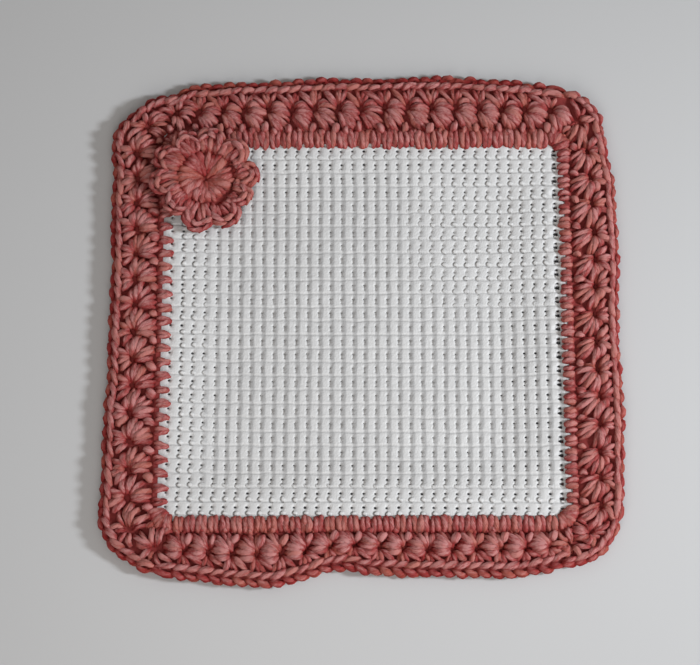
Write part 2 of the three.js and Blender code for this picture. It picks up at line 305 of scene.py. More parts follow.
class Strands:
    """Strands of plied yarn, gathered and then made into one mesh."""

    def __init__(self, place, rings, sides):
        self.place = place
        self.rings = rings
        self.sides = sides
        self.lines = []
        self.radii = []
        self.flats = []

    def add(self, points, radius=YARN_RADIUS, ends=(0.6, 0.6), taper=0.35, flat=1.0):
        t = np.linspace(0, 1, self.rings)
        first = ends[0] + (1 - ends[0]) * smooth(t / taper)
        last = ends[1] + (1 - ends[1]) * smooth((1 - t) / taper)
        self.lines.append(self.place(spline(points, self.rings)))
        self.radii.append(radius * (1 + jitter(RADIUS_SPREAD)) * first * last)
        self.flats.append(flat)

    def shape(self):
        """Surface points, the length along each strand and the angle at which its plies start."""
        line = np.array(self.lines)
        radius = np.array(self.radii)
        flat = np.array(self.flats)[:, None, None]
        along = unit(np.gradient(line, axis=1))
        side = unit(np.cross(unit(line[:, -1] - line[:, 0]), np.array([0, 0, 1.0])))
        sides = []
        for ring in range(self.rings):
            tangent = along[:, ring]
            side = unit(side - tangent * np.sum(side * tangent, axis=1, keepdims=True))
            sides.append(side)
        across = np.stack(sides, axis=1)
        upward = np.cross(across, along)
        step = np.linalg.norm(np.diff(line, axis=1), axis=2)
        length = np.concatenate([np.zeros((len(line), 1)), np.cumsum(step, axis=1)], axis=1)
        turn = 2 * np.pi * np.arange(self.sides) / self.sides
        start = RNG.uniform(0, 1, len(line))
        twist = turn[None, None] - 2 * np.pi * (length[..., None] / TWIST_LENGTH - start[:, None, None])
        reach = radius[..., None] * (1 + PLY_RELIEF * np.cos(PLIES * twist))
        points = (
            line[:, :, None]
            + across[:, :, None] * (np.cos(turn)[None, None] * reach)[..., None]
            + upward[:, :, None] * (np.sin(turn)[None, None] * reach * flat)[..., None]
        )
        points += RNG.normal(0, ROUGHNESS, points.shape)
        points[..., 2] = np.maximum(points[..., 2], TABLE_GAP)
        return points, length, start

    def build(self, name, material, crest_at):
        points, length, start = self.shape()
        count, rings, sides, _ = points.shape
        number = np.arange(count * rings * sides).reshape(count, rings, sides)
        here = number[:, :-1]
        ahead = number[:, 1:]
        quads = np.stack(
            [here, np.roll(here, -1, axis=2), np.roll(ahead, -1, axis=2), ahead], axis=-1
        ).reshape(-1, 4)
        caps = np.concatenate([number[:, 0, ::-1], number[:, -1]])
        u = np.broadcast_to(length[:, :, None], number.shape)
        low = u[:, :-1]
        high = u[:, 1:]
        left = np.broadcast_to(np.arange(sides) / sides + start[:, None, None], low.shape)
        right = left + 1 / sides
        corners = [(low, left), (low, right), (high, right), (high, left)]
        uv = np.stack([np.stack(corner, -1) for corner in corners], axis=-2).reshape(-1, 2)
        piece = add_mesh(name, points, quads.tolist() + caps.tolist(), material)
        mesh = piece.data
        layer = mesh.uv_layers.new(name="yarn")
        layer.data.foreach_set("uv", np.concatenate([uv, np.zeros((caps.size, 2))]).ravel())
        set_values(mesh, "crest", crest_at(points.reshape(-1, 3)))
        set_values(mesh, "tint", np.repeat(RNG.uniform(0, 1, count), rings * sides))
        mesh.polygons.foreach_set("use_smooth", np.ones(len(mesh.polygons), bool))
        return piece


# Crest: 0 deep between the stitches and 1 on top of them. The yarn's colour follows it, from painted shade
# deep down to painted highlight on top
LEAST_CREST = 0.1
BACK_CREST = 0.55


class Relief:
    """Height map of the stitches' upper side: how far a point stands out from what is around it."""

    CELL = 0.5
    HALF = 112.0
    REACH = 4
    OFFSETS = (-0.5, 0.0, 0.5)

    def __init__(self, groups, floor, ground, middle, depth):
        self.ground = ground
        self.middle = middle
        self.depth = depth
        size = int(2 * self.HALF / self.CELL)
        top = np.full((size, size), floor)
        for group in groups:
            line = np.array(group.lines)
            radius = np.array(group.radii)
            for offset in self.OFFSETS:
                for axis in (0, 1):
                    points = line + np.where(np.arange(3) == axis, offset * radius[..., None], 0)
                    points[..., 2] += radius * math.sqrt(1 - offset**2)
                    points = points.reshape(-1, 3)
                    np.maximum.at(top, self.cell(points), self.height(points))
        shifts = range(-self.REACH, self.REACH + 1)
        for axis in (0, 1, 0, 1):
            top = sum(np.roll(top, k, axis) for k in shifts) / len(shifts)
        self.mean = top

    def height(self, points):
        return points[:, 2] - self.ground(points[:, 0], points[:, 1])

    def cell(self, points):
        column = ((points[:, 0] + self.HALF) / self.CELL).astype(int)
        row = ((points[:, 1] + self.HALF) / self.CELL).astype(int)
        return row, column

    def crest(self, points):
        above = self.height(points) - self.mean[self.cell(points)]
        return np.clip(self.middle + above / self.depth, LEAST_CREST, 1)


def back_crest(points):
    """The underside has no relief of its own, so its yarn has one even tone."""
    return np.full(len(points), BACK_CREST)


# Materials


class Value:
    """The output of a node, with arithmetic that adds math nodes behind it."""

    def __init__(self, nodes, socket):
        self.nodes = nodes
        self.socket = socket

    def math(self, operation, other=0.0):
        return self.nodes.math(operation, self, other)

    def __add__(self, other):
        return self.math("ADD", other)

    def __sub__(self, other):
        return self.math("SUBTRACT", other)

    def __rsub__(self, other):
        return self.nodes.math("SUBTRACT", other, self)

    def __mul__(self, other):
        return self.math("MULTIPLY", other)

    def __truediv__(self, other):
        return self.math("DIVIDE", other)


# The mix node's sockets for colours come after those for numbers and vectors
MIX_INPUTS = (6, 7)
MIX_OUTPUT = 2


class Nodes:
    """A new material and its nodes. Inputs go by place or by name, with an underscore for a space."""

    def __init__(self, name, **values):
        self.material = bpy.data.materials.new(name)
        self.material.use_nodes = True
        self.tree = self.material.node_tree
        self.shader = self.tree.nodes["Principled BSDF"]
        self.fill(self.shader, values)

    def fill(self, node, values):
        for key, value in values.items():
            socket = node.inputs[key.replace("_", " ") if isinstance(key, str) else key]
            if isinstance(value, Value):
                self.tree.links.new(value.socket, socket)
            else:
                socket.default_value = (*value, 1) if socket.type == "RGBA" else value

    def add(self, kind, *inputs, settings=None, output=0, **named):
        node = self.tree.nodes.new(kind)
        for key, value in (settings or {}).items():
            setattr(node, key, value)
        self.fill(node, {**dict(enumerate(inputs)), **named})
        return Value(self, node.outputs[output])

    def split(self, kind, whole):
        """The three parts of a vector or a colour."""
        return [Value(self, output) for output in self.add(kind, whole).socket.node.outputs]

    def math(self, operation, first, second):
        return self.add("ShaderNodeMath", first, second, settings={"operation": operation})

    def attribute(self, name, output="Fac"):
        return self.add("ShaderNodeAttribute", settings={"attribute_name": name}, output=output)

    def place(self):
        return self.add("ShaderNodeTexCoord", output="Object")

    def noise(self, place, scale, detail, output=0):
        return self.add("ShaderNodeTexNoise", Vector=place, Scale=scale, Detail=detail, output=output)

    def bump(self, height, strength, depth, **under):
        return self.add("ShaderNodeBump", Strength=strength, Distance=depth, Height=height, **under)

    def ramp(self, factor, stops):
        colour = self.add("ShaderNodeValToRGB", factor)
        elements = colour.socket.node.color_ramp.elements
        while len(elements) < len(stops):
            elements.new(0.5)
        for element, (position, shade) in zip(elements, stops):
            element.position = position
            element.color = (*shade, 1)
        return colour

    def mix(self, factor, first, second):
        colour = self.add("ShaderNodeMix", settings={"data_type": "RGBA"}, output=MIX_OUTPUT, Factor=factor)
        self.fill(colour.socket.node, dict(zip(MIX_INPUTS, (first, second))))
        return colour

    def finish(self, colour, bump):
        self.fill(self.shader, {"Base Color": colour, "Normal": bump})
        return self.material


# Dusty rose, from painted shade between the stitches to a paler painted highlight on their crests, and its
# browner strands
YARN_SHADE_STOPS = [
    (0.0, (0.265, 0.024, 0.023)), (0.35, (0.300, 0.047, 0.046)), (0.68, (0.352, 0.096, 0.093)),
    (1.0, (0.480, 0.210, 0.206)),
]
YARN_BROWN = (0.39, 0.110, 0.070)
# The core's colours: a darker rose than the yarn, painted shade for the gaps between the stitches
CORE_SHADE_COLOURS = [(0.18, 0.019, 0.018), (0.28, 0.038, 0.036)]

# The yarn's fibres are noise, stretched along a strand and wrapped round it. They and the plies have a
# height in the bump, and they and each strand's own tint shift its place in the colours above. For the plies
# this is painted shade in the grooves between them and painted highlight on their tops; for the fibres it is
# partly their own tone and partly painted shade and highlight that follow their bump. BROWN is a broad noise
# and where the mean of it and the tint starts to brown a strand, where it has done so in full, and how far
FIBRES = {"along": 0.35, "round": 1.3, "scale": 2.6, "detail": 4.0, "height": 1.3, "tone": 1.25}
PLY = {"height": 0.5, "middle": 0.2, "tone": 0.12}
TINT_TONE = 0.3
BROWN = {"scale": 110.0, "detail": 2.0, "start": 0.45, "full": 0.8, "share": 0.5}


def yarn_material(name):
    """Matt dusty rose cotton: plies and fibres along the strand, with painted highlight on the crests of the
    stitches and painted shade between them.
    """
    nodes = Nodes(
        name, Roughness=0.9, Subsurface_Weight=0.4, Subsurface_Scale=MM, Subsurface_Radius=(0.5, 0.4, 0.38),
        Specular_IOR_Level=0.12,
    )
    strip_map = nodes.add("ShaderNodeUVMap", settings={"uv_map": "yarn"})
    along, around, _ = nodes.split("ShaderNodeSeparateXYZ", strip_map)
    turn = around - along / TWIST_LENGTH
    ply = (turn * (2 * math.pi * PLIES)).math("COSINE")
    angle = turn * (2 * math.pi)
    strip = nodes.add(
        "ShaderNodeCombineXYZ", along * FIBRES["along"], angle.math("COSINE") * FIBRES["round"],
        angle.math("SINE") * FIBRES["round"],
    )
    fibres = nodes.noise(strip, FIBRES["scale"], FIBRES["detail"])
    bump = nodes.bump(ply * PLY["height"] + fibres * FIBRES["height"], strength=0.9, depth=0.0004)
    tint = nodes.attribute("tint")
    # Painted shade and highlight along the fibres' and the plies' bump, on top of the fibres' own tone
    streaks = (fibres - 0.5) * FIBRES["tone"]
    lobes = (ply - PLY["middle"]) * PLY["tone"]
    # The crest places the colour between painted shade and painted highlight
    crest = nodes.attribute("crest") + (streaks + (lobes + (tint - 0.5) * TINT_TONE))
    patches = nodes.noise(nodes.place(), BROWN["scale"], BROWN["detail"])
    brown = nodes.add(
        "ShaderNodeMapRange", (patches + tint) * 0.5, BROWN["start"], BROWN["full"], 0.0, BROWN["share"]
    )
    return nodes.finish(nodes.mix(brown, nodes.ramp(crest, YARN_SHADE_STOPS), YARN_BROWN), bump)


def core_material():
    """The inside of the crochet, seen only in its gaps, and coloured darker than the yarn as painted shade."""
    nodes = Nodes("yarn_core_shade", Roughness=0.95)
    noise = nodes.noise(nodes.place(), scale=900.0, detail=3.0)
    return nodes.finish(nodes.mix(noise, *CORE_SHADE_COLOURS), nodes.bump(noise, strength=0.6, depth=0.0004))


# The foam's cells, in millimetres. A bead's middle from the rib gap and below the crease, its half width
# and half height, and how strong the painted highlight on its dome is. The groove on the bead's rim: its
# half width as a share of the bead, how far it leans from the left to below, where it starts and is full, and
# its depth and painted shade. The band beside the rib gap that is painted grey as shade: its place, its half
# width under the crease and above the next one, how hard it is, and its painted shade. The crease: its half
# width, depth and painted shade. The foot of the rib above the next crease, with a painted highlight. Last
# how far noise warps them
BEAD = {"across": 0.1, "down": 4.35, "wide": 1.08, "tall": 0.92, "painted_highlight": 0.55}
GROOVE = {"half": 0.58, "lean": 0.3, "start": -0.2, "full": 0.35, "depth": 0.8, "shade": 0.52}
GAP = {"across": 0.6, "under": 1.45, "above": 1.2, "hard": 1.7, "shade": 0.42}
CREASE = {"half": 0.65, "depth": 0.3, "shade": 0.14}
FOOT = {"down": 4.65, "half": 0.5, "painted_highlight": 0.3}
WARP = 0.3
FOAM_COLOURS = [(0.53, 0.533, 0.545), (0.705, 0.709, 0.723)]
# Colours of the painted highlight and the painted shade on the foam's beads, grooves, bands and creases
FOAM_HIGHLIGHT = (0.74, 0.74, 0.745)
FOAM_SHADE = (0.16, 0.16, 0.165)


def foam_material():
    """White foam with a pebbled skin; on the mesh's beads a round top with a groove at its left and below.
    Painted shade darkens the grooves, the bands beside the rib gaps and the creases; painted highlight
    lightens the bead domes and the rib feet.
    """
    nodes = Nodes("grip_foam", Roughness=0.62, Specular_IOR_Level=0.3)
    place = nodes.place()
    across, down, share = nodes.split("ShaderNodeSeparateXYZ", nodes.attribute("cell", "Vector"))
    beads = share.math("MAXIMUM", 0.0)
    ribs = 1.0 - share.math("ABSOLUTE")
    warps = nodes.split("ShaderNodeSeparateColor", nodes.noise(place, scale=170.0, detail=1.0, output=1))

    def from_middle(along, pitch, middle, warp):
        """Distance in millimetres from the nearest line that repeats at a pitch."""
        moved = along / pitch + warp * WARP
        return ((moved + (0.5 - 0.5 * WARP - middle / pitch)).math("FRACT") - 0.5) * pitch

    def smoothed(value, low, high):
        return nodes.add(
            "ShaderNodeMapRange", value, low, high, 0.0, 1.0, settings={"interpolation_type": "SMOOTHSTEP"}
        )

    def band(distance, half):
        """1 on a line, falling to 0 at half its width."""
        return smoothed(distance.math("ABSOLUTE") / half, 1.0, 0.0)

    wide = from_middle(across, RIB_PITCH, BEAD["across"], warps[0]) / BEAD["wide"]
    tall = from_middle(down, ROW_PITCH, BEAD["down"], warps[1]) / BEAD["tall"]
    square = wide * wide + tall * tall
    rim = band(square.math("SQRT") - 1.0, GROOVE["half"])
    facing = wide * -1.0 + tall * GROOVE["lean"]
    groove = rim * smoothed(facing, GROOVE["start"], GROOVE["full"]) * beads
    dome = (1.0 - square).math("MAXIMUM", 0.0).math("SQRT") * beads
    # The band beside the rib gap that is painted grey as shade
    below = (down / ROW_PITCH).math("FRACT")
    half = below * (GAP["above"] - GAP["under"]) + GAP["under"]
    gap = band(from_middle(across, RIB_PITCH, GAP["across"], warps[0]), half) * GAP["hard"]
    gap = gap.math("MINIMUM", 1.0) * ribs
    crease = band(from_middle(down, ROW_PITCH, 0.0, warps[2]), CREASE["half"])
    foot = band(from_middle(down, ROW_PITCH, FOOT["down"], warps[2]), FOOT["half"])

    swell = dome - groove * GROOVE["depth"] - crease * CREASE["depth"]
    form = nodes.bump(swell, strength=0.8, depth=0.0006)
    pebbles = nodes.add("ShaderNodeTexVoronoi", Vector=place, Scale=1500.0)
    lumps = nodes.noise(place, scale=700.0, detail=3.0)
    bump = nodes.bump(pebbles * 0.5 + lumps, strength=0.5, depth=0.0003, Normal=form)
    patches = nodes.noise(place, scale=60.0, detail=2.0)
    colour = nodes.mix((patches + lumps) * 0.5, *FOAM_COLOURS)
    # Painted highlight on the bead domes and the rib feet
    painted_highlight = (dome * BEAD["painted_highlight"]).math("MAXIMUM", foot * FOOT["painted_highlight"])
    colour = nodes.mix(painted_highlight, colour, FOAM_HIGHLIGHT)
    # Painted shade in the grooves, the grey bands and the creases
    shade = (groove * GROOVE["shade"]).math("MAXIMUM", gap * GAP["shade"])
    shade = shade.math("MAXIMUM", crease * CREASE["shade"])
    return nodes.finish(nodes.mix(shade, colour, FOAM_SHADE), bump)


YARN = yarn_material("cotton_yarn")
FLOWER_YARN = yarn_material("flower_yarn")
CORE = core_material()
FOAM = foam_material()


# Border stitches. A leaf is one visible stretch of yarn between two places where it dives under others. Its
# ends are given along the ring, in shares of the way to the next eye, and out from the eye: 1 is at the
# edge chain and -1 where the first round ends. The rest is the height of its middle and of its end, and its
# radius.
Leaf = namedtuple("Leaf", "along out to_along to_out bow middle end radius")
EYE_HEIGHT = 3.2

FANS = {
    "top": [
        Leaf(0.12, 0.14, 0.70, 0.08, 0.18, 5.0, 3.3, 1.04),
        Leaf(0.14, 0.02, 0.84, -0.06, 0.10, 5.0, 3.3, 1.0),
        Leaf(0.13, -0.05, 0.88, -0.28, 0.07, 5.2, 3.3, 1.08),
        Leaf(0.12, -0.08, 0.84, -0.54, 0.06, 5.2, 3.3, 1.06),
        Leaf(0.09, -0.11, 0.84, -0.84, 0.04, 5.2, 3.3, 1.04),
        Leaf(0.05, -0.13, 0.68, -1.02, 0.02, 5.1, 3.3, 1.04),
        Leaf(0.02, -0.13, 0.46, -1.06, 0.0, 5.0, 3.3, 1.0),
        Leaf(0.0, -0.12, 0.24, -0.88, 0.0, 4.8, 3.3, 0.95),
    ],
    "right": [
        Leaf(0.14, 0.13, 0.50, 0.08, 0.24, 4.9, 3.3, 1.2),
        Leaf(0.18, 0.0, 0.82, -0.08, 0.06, 5.0, 3.3, 1.1),
        Leaf(0.14, -0.08, 0.90, -0.36, 0.07, 5.0, 3.3, 1.06),
        Leaf(0.12, -0.12, 0.72, -0.80, 0.08, 5.1, 3.3, 1.0),
        Leaf(0.06, -0.15, 0.52, -0.95, 0.02, 5.2, 3.3, 1.02),
        Leaf(-0.03, -0.16, 0.16, -0.92, 0.0, 5.0, 3.3, 0.95),
        Leaf(-0.12, -0.12, -0.08, -0.66, 0.0, 4.4, 3.3, 0.8),
    ],
    "bottom": [
        Leaf(0.10, 0.12, 0.72, 0.02, 0.24, 5.4, 2.8, 1.12),
        Leaf(0.13, 0.0, 0.78, -0.12, 0.10, 5.8, 2.8, 1.06),
        Leaf(0.12, -0.05, 0.78, -0.34, 0.08, 5.9, 2.8, 1.1),
        Leaf(0.10, -0.09, 0.74, -0.58, 0.06, 5.9, 2.8, 1.08),
        Leaf(0.06, -0.12, 0.66, -0.84, 0.03, 5.7, 2.9, 1.04),
        Leaf(0.01, -0.14, 0.42, -0.98, 0.0, 5.4, 3.0, 1.0),
        Leaf(-0.05, -0.12, 0.10, -0.94, -0.02, 5.0, 3.0, 0.95),
    ],
    "left": [
        Leaf(0.11, 0.12, 0.62, 0.04, 0.17, 5.0, 3.2, 1.1),
        Leaf(0.12, 0.0, 0.80, -0.10, 0.05, 5.2, 3.2, 1.04),
        Leaf(0.12, -0.05, 0.84, -0.38, 0.06, 5.2, 3.2, 1.06),
        Leaf(0.10, -0.09, 0.64, -0.66, 0.04, 5.2, 3.3, 1.08),
        Leaf(0.06, -0.12, 0.38, -0.90, 0.02, 5.2, 3.4, 1.06),
        Leaf(0.01, -0.14, 0.14, -0.98, 0.0, 5.1, 3.4, 1.05),
        Leaf(-0.05, -0.13, -0.10, -0.92, 0.0, 4.9, 3.4, 1.0),
    ],
}
THIN_CROWN = [
    Leaf(-0.05, 0.28, -0.24, 0.88, 0.0, 4.5, 3.8, 0.9),
    Leaf(0.0, 0.30, -0.02, 0.90, 0.0, 4.4, 3.7, 0.85),
    Leaf(0.06, 0.28, 0.24, 0.88, 0.0, 4.5, 3.8, 0.9),
]
BROAD_CROWN = [
    Leaf(-0.06, 0.24, -0.20, 0.94, 0.0, 4.9, 4.2, 1.06),
    Leaf(0.02, 0.26, 0.03, 0.72, 0.0, 4.7, 4.0, 1.0),
    Leaf(0.09, 0.24, 0.30, 0.92, 0.0, 4.9, 4.2, 1.06),
]
CROWNS = {"top": THIN_CROWN, "right": BROAD_CROWN, "bottom": THIN_CROWN, "left": BROAD_CROWN}
SLANTED = {
    "top": Leaf(-0.13, 0.14, -0.76, 0.82, 0.04, 4.8, 4.0, 1.0),
    "right": Leaf(-0.13, 0.12, -0.50, 0.66, 0.04, 4.8, 4.0, 1.12),
    "bottom": Leaf(-0.12, 0.12, -0.66, 0.74, 0.04, 4.9, 4.0, 1.0),
    "left": Leaf(-0.12, 0.12, -0.50, 0.66, 0.04, 4.8, 4.0, 1.08),
}
SINGLE_TOPS = {
    "top": Leaf(-0.15, -1.04, -0.12, -0.66, 0.0, 5.3, 4.2, 1.15),
    "right": Leaf(-0.22, -0.86, -0.16, -0.58, 0.0, 5.0, 3.8, 1.1),
    "bottom": Leaf(-0.28, -0.78, -0.08, -0.34, 0.0, 5.7, 4.0, 1.2),
    "left": Leaf(-0.40, -0.96, -0.26, -0.68, 0.0, 4.8, 4.0, 1.25),
}
SMALL_TOPS = {
    "top": [Leaf(0.30, -1.12, 0.24, -0.88, 0.0, 4.8, 3.8, 1.0)],
    "right": [],
    "bottom": [Leaf(0.30, -1.08, 0.24, -0.90, 0.0, 4.6, 3.8, 0.9)],
    "left": [],
}
LEAF_SHAPE = [(0.0, 0.0, 0.0), (0.16, 0.62, 0.55), (0.42, 1.0, 1.0), (0.75, 0.72, 0.75), (1.0, 0.0, 0.0)]


# How far a loose leaf strays: its end along and outwards as shares, its height, and each of its points
# along in ring steps and outwards in millimetres. On the first part of its way it rises from the eye
LEAF_STRAY = {"along": 0.14, "out": 0.2, "height": 0.9, "step": 0.04, "point": 0.5}
FIRST_PART = 0.3


def add_leaf(strands, star, leaf, ends=(0.5, 0.75), size=None):
    """One leaf of a star: up out of the fabric, along and down again."""
    side = star["side"]
    size = size or side.eye
    loose = star["loose"]
    turn = star["turn"] * abs(leaf.to_out)
    end_along = leaf.to_along + turn + jitter(LEAF_STRAY["along"] * loose)
    end_out = leaf.to_out + jitter(LEAF_STRAY["out"] * loose)
    lift_up = star["lift"] + jitter(LEAF_STRAY["height"] * loose)
    first_along = leaf.along * size
    first_out = leaf.out * size
    points = []
    for way, lift, bow in LEAF_SHAPE:
        along = first_along + (end_along - first_along) * way
        step = star["eye"] + along * (star["ahead"] if along > 0 else star["behind"])
        share = first_out + (end_out - first_out) * way + leaf.bow * bow
        width = float(border_width(step))
        eye = star["out"] * width
        span = eye - side.fan if share < 0 else width - side.edge - eye
        low = EYE_HEIGHT if way < FIRST_PART else leaf.end
        height = low + (leaf.middle + lift_up - low) * lift
        step += jitter(LEAF_STRAY["step"] * loose)
        points.append((step, eye + share * span + jitter(LEAF_STRAY["point"] * loose), height))
    strands.add(points, radius=leaf.radius * star["thick"], ends=ends, taper=0.4)


# Legs of the edge chain. The front leg: along as a share of half a stitch, outwards as a share of the
# side's slant, and height. The back leg: along as a share of its reach, outwards as a share of the side's
# slant and in millimetres, and height. Half a stitch and the place of the back leg are given as shares of
# the chain's pitch
FRONT_LEG = [(-1.2, -0.65, 3.0), (-0.75, -0.42, 4.4), (0, 0, 4.95), (0.75, 0.42, 4.5), (1.2, 0.6, 3.2)]
BACK_LEG = [
    (-1.0, 1.0, -0.9, 2.3), (-0.6, 0.7, -0.1, 3.3), (0.0, 0.0, 0.2, 3.7), (0.6, -0.7, -0.1, 3.5),
    (1.0, -1.0, -0.9, 2.7),
]
FRONT_HALF = 0.62
BACK_PLACE = 0.3
BACK_REACH = 2.3
FRONT_STRAY = 0.8
BACK_STRAY = {"out": 0.3, "height": 0.4}

# The lower loops of the edge: along as a share of the chain's pitch, how far in, and height
EDGE_LOOP = [(-0.6, 2.2, 2.7), (0.0, 1.0, 2.2), (0.6, 2.0, 1.5)]


def edge_chain(strands, step, scale, side):
    """One V of the edge chain: its front leg and its back leg, which meet ahead of the stitch."""
    half = FRONT_HALF * side.chain * scale
    loose = side.loose
    points = []
    for along, slant, height in FRONT_LEG:
        at = step + along * half
        out = float(border_width(at)) - side.edge + slant * side.slant + jitter(FRONT_STRAY * loose)
        points.append((at, out, height + jitter(FRONT_STRAY * loose)))
    strands.add(points, radius=1.12, taper=0.4)
    middle = step + BACK_PLACE * side.chain * scale
    bulge = jitter(side.bump)
    points = []
    for along, slant, outwards, height in BACK_LEG:
        at = middle + along * BACK_REACH * scale
        out = float(border_width(at)) - side.back + slant * side.rear + outwards + bulge
        out += jitter(BACK_STRAY["out"] * loose)
        points.append((at, out, side.stand * height + jitter(BACK_STRAY["height"] * loose)))
    strands.add(points, radius=1.1, taper=0.4)


def edge_side(strands, step, scale, side):
    """The lower loops of the edge, seen from the side."""
    points = []
    for along, inwards, height in EDGE_LOOP:
        at = step + along * side.chain * scale
        points.append((at, float(border_width(at)) - inwards + jitter(0.15), height + jitter(0.1)))
    strands.add(points)


LINER_TOP = GRIP_HEIGHT + RIB_THICKNESS
LEG_STRAY = {"end": 1.2, "lift": 0.8, "apart": 0.2}


def single_legs(strands, step, pitch, side):
    """Two legs of a single crochet, from a hole of the liner out to the star round."""
    loose = side.loose
    for way in (-1, 1):
        end = side.end + jitter(LEG_STRAY["end"] * loose)
        start = side.start + jitter(LEG_STRAY["end"] * loose)
        lift = jitter(LEG_STRAY["lift"] * loose)
        profile = [
            (0.0, side.near * 0.8, LINER_TOP - 1.1),
            (0.16, side.near, LINER_TOP + 0.3),
            (0.5, 0.5 * (side.near + side.far), LINER_TOP + 0.75 + lift),
            (0.85, side.far, LINER_TOP + 0.6 + lift),
            (1.0, side.far, LINER_TOP - 0.4),
        ]
        points = []
        for share, apart, height in profile:
            along = way * apart + jitter(LEG_STRAY["apart"] * loose)
            points.append((step + along * pitch, start + (end - start) * share, height))
        strands.add(points, radius=side.radius, ends=(0.75, 0.75))


def between_legs(strands, step, pitch, side):
    """The strand between two single crochets, where the liner's holes are close."""
    low = side.start + 1.2 + jitter(0.6)
    points = [
        (step + (0.5 + jitter(0.3)) * pitch, low, LINER_TOP - 0.9),
        (step + (0.5 + jitter(0.2)) * pitch, low + 1.6, LINER_TOP + 0.1),
        (step + (0.5 + jitter(0.3)) * pitch, side.end + 0.6, LINER_TOP + 0.2 + jitter(0.3)),
    ]
    strands.add(points, radius=1.0, ends=(0.6, 0.8))


OVERRUN = 1.0


def hole_steps():
    """Ring steps of the first round's stitches, with their pitch and their side."""
    rows = []
    for name, side in SIDES.items():
        length = (WINDOW_X if name in ("top", "bottom") else WINDOW_Y) - INNER_CORNER_RADIUS
        scale = PART_STEPS[name] / (2 * length)
        middle = PART_START[name] + PART_STEPS[name] / 2
        for i in range(side.holes):
            along = (i - (side.holes - 1) / 2) * side.pitch + side.shift
            if abs(along) < length + OVERRUN:
                rows.append((middle + along * scale, side.pitch * scale, side))
    for corner, before in zip(RING_PARTS[1::2], RING_PARTS[::2]):
        pitch = corner.steps / CORNER_HOLES
        side = SIDES[before.name]._replace(**CORNER_LEGS)
        rows += [(PART_START[corner.name] + (i + 0.5) * pitch, pitch, side) for i in range(CORNER_HOLES)]
    return sorted(rows)


# How far stars stray: their eye along in ring steps and outwards as a share, their turn and their height;
# and how loose their leaves lie, on a side and at a corner, where they are thinner
STAR_STRAY = {"eye": 0.04, "out": 0.014, "turn": 0.14, "lift": 0.3}
SIDE_LOOSE = 0.5
CORNER_LOOSE = 0.8
CORNER_THICK = 0.9


def list_stars():
    """Every eye with the distance to the eyes next to it and the side that it is on."""
    stars = []
    for row in EYES:
        corner = row.part not in SIDES
        kind = row.part.split()[1] if corner else row.part
        for number in range(row.count):
            share = number / max(row.count - 1, 1)
            eye = row.first + (row.last - row.first) * share + row.lead * 4 * share * (1 - share)
            stars.append({
                "eye": eye + jitter(STAR_STRAY["eye"]), "out": row.out + jitter(STAR_STRAY["out"]),
                "kind": kind, "side": SIDES[kind], "loose": CORNER_LOOSE if corner else SIDE_LOOSE,
                "thick": CORNER_THICK if corner else SIDES[kind].thick,
                "turn": jitter(STAR_STRAY["turn"]), "lift": jitter(STAR_STRAY["lift"]),
            })
    for number, star in enumerate(stars):
        after = stars[(number + 1) % len(stars)]
        star["ahead"] = (after["eye"] - star["eye"]) % RING_STEPS
        after["behind"] = star["ahead"]
    return stars


LEFT_OVER = 0.1
PROBE = 0.01


def chain_steps():
    """Ring steps of the edge chain's stitches, with the ring steps to a millimetre there and their side."""
    rows = []
    step = 0.0
    while step < RING_STEPS - LEFT_OVER:
        name = RING_PARTS[int(np.searchsorted(KNOTS[:, 0], step, side="right")) - 1].name
        side = SIDES[name] if name in SIDES else SIDES[name.split()[1]]._replace(**CORNER_CHAIN)
        reach = float(border_width(step)) - side.edge
        near, far = ring_place(np.array([[step, reach, 0.0], [step + PROBE, reach, 0.0]]))
        scale = PROBE / float(np.linalg.norm(far - near))
        rows.append((step, scale, side))
        step += side.chain * scale
    return rows


# Strands of the underside, twice for each eye: along as a share of the way to the next eye, out as a share
# of the border's width, and height
PAIR = (-0.12, 0.12)
BACK_LEGS = [[(side, 0.0, 1.5), (1.6 * side, 0.13, 1.25), (side, 0.27, 1.5)] for side in PAIR]
BACK_BARS = [[(-0.3, out, 1.7), (0, out + 0.012, 1.25), (0.3, out, 1.7)] for out in (0.33, 0.42, 0.52, 0.88)]
BACK_POSTS = [[(side, 0.56, 1.7), (side - 0.05, 0.7, 1.25), (side - 0.08, 0.84, 1.7)] for side in PAIR]
UNDER_STRAY = {"along": 0.02, "out": 0.2, "height": 0.06}


def back_stitches(strands, star):
    """The plainer face that lies on the table: legs, bars and posts."""
    for half in (0.0, 0.5):
        at = star["eye"] + half * star["ahead"]
        width = float(border_width(at))
        for row in BACK_LEGS + BACK_BARS + BACK_POSTS:
            points = []
            for along, out, height in row:
                step = at + along * star["ahead"] + jitter(UNDER_STRAY["along"])
                out = out * width + jitter(UNDER_STRAY["out"])
                points.append((step, out, height + jitter(UNDER_STRAY["height"])))
            strands.add(points)


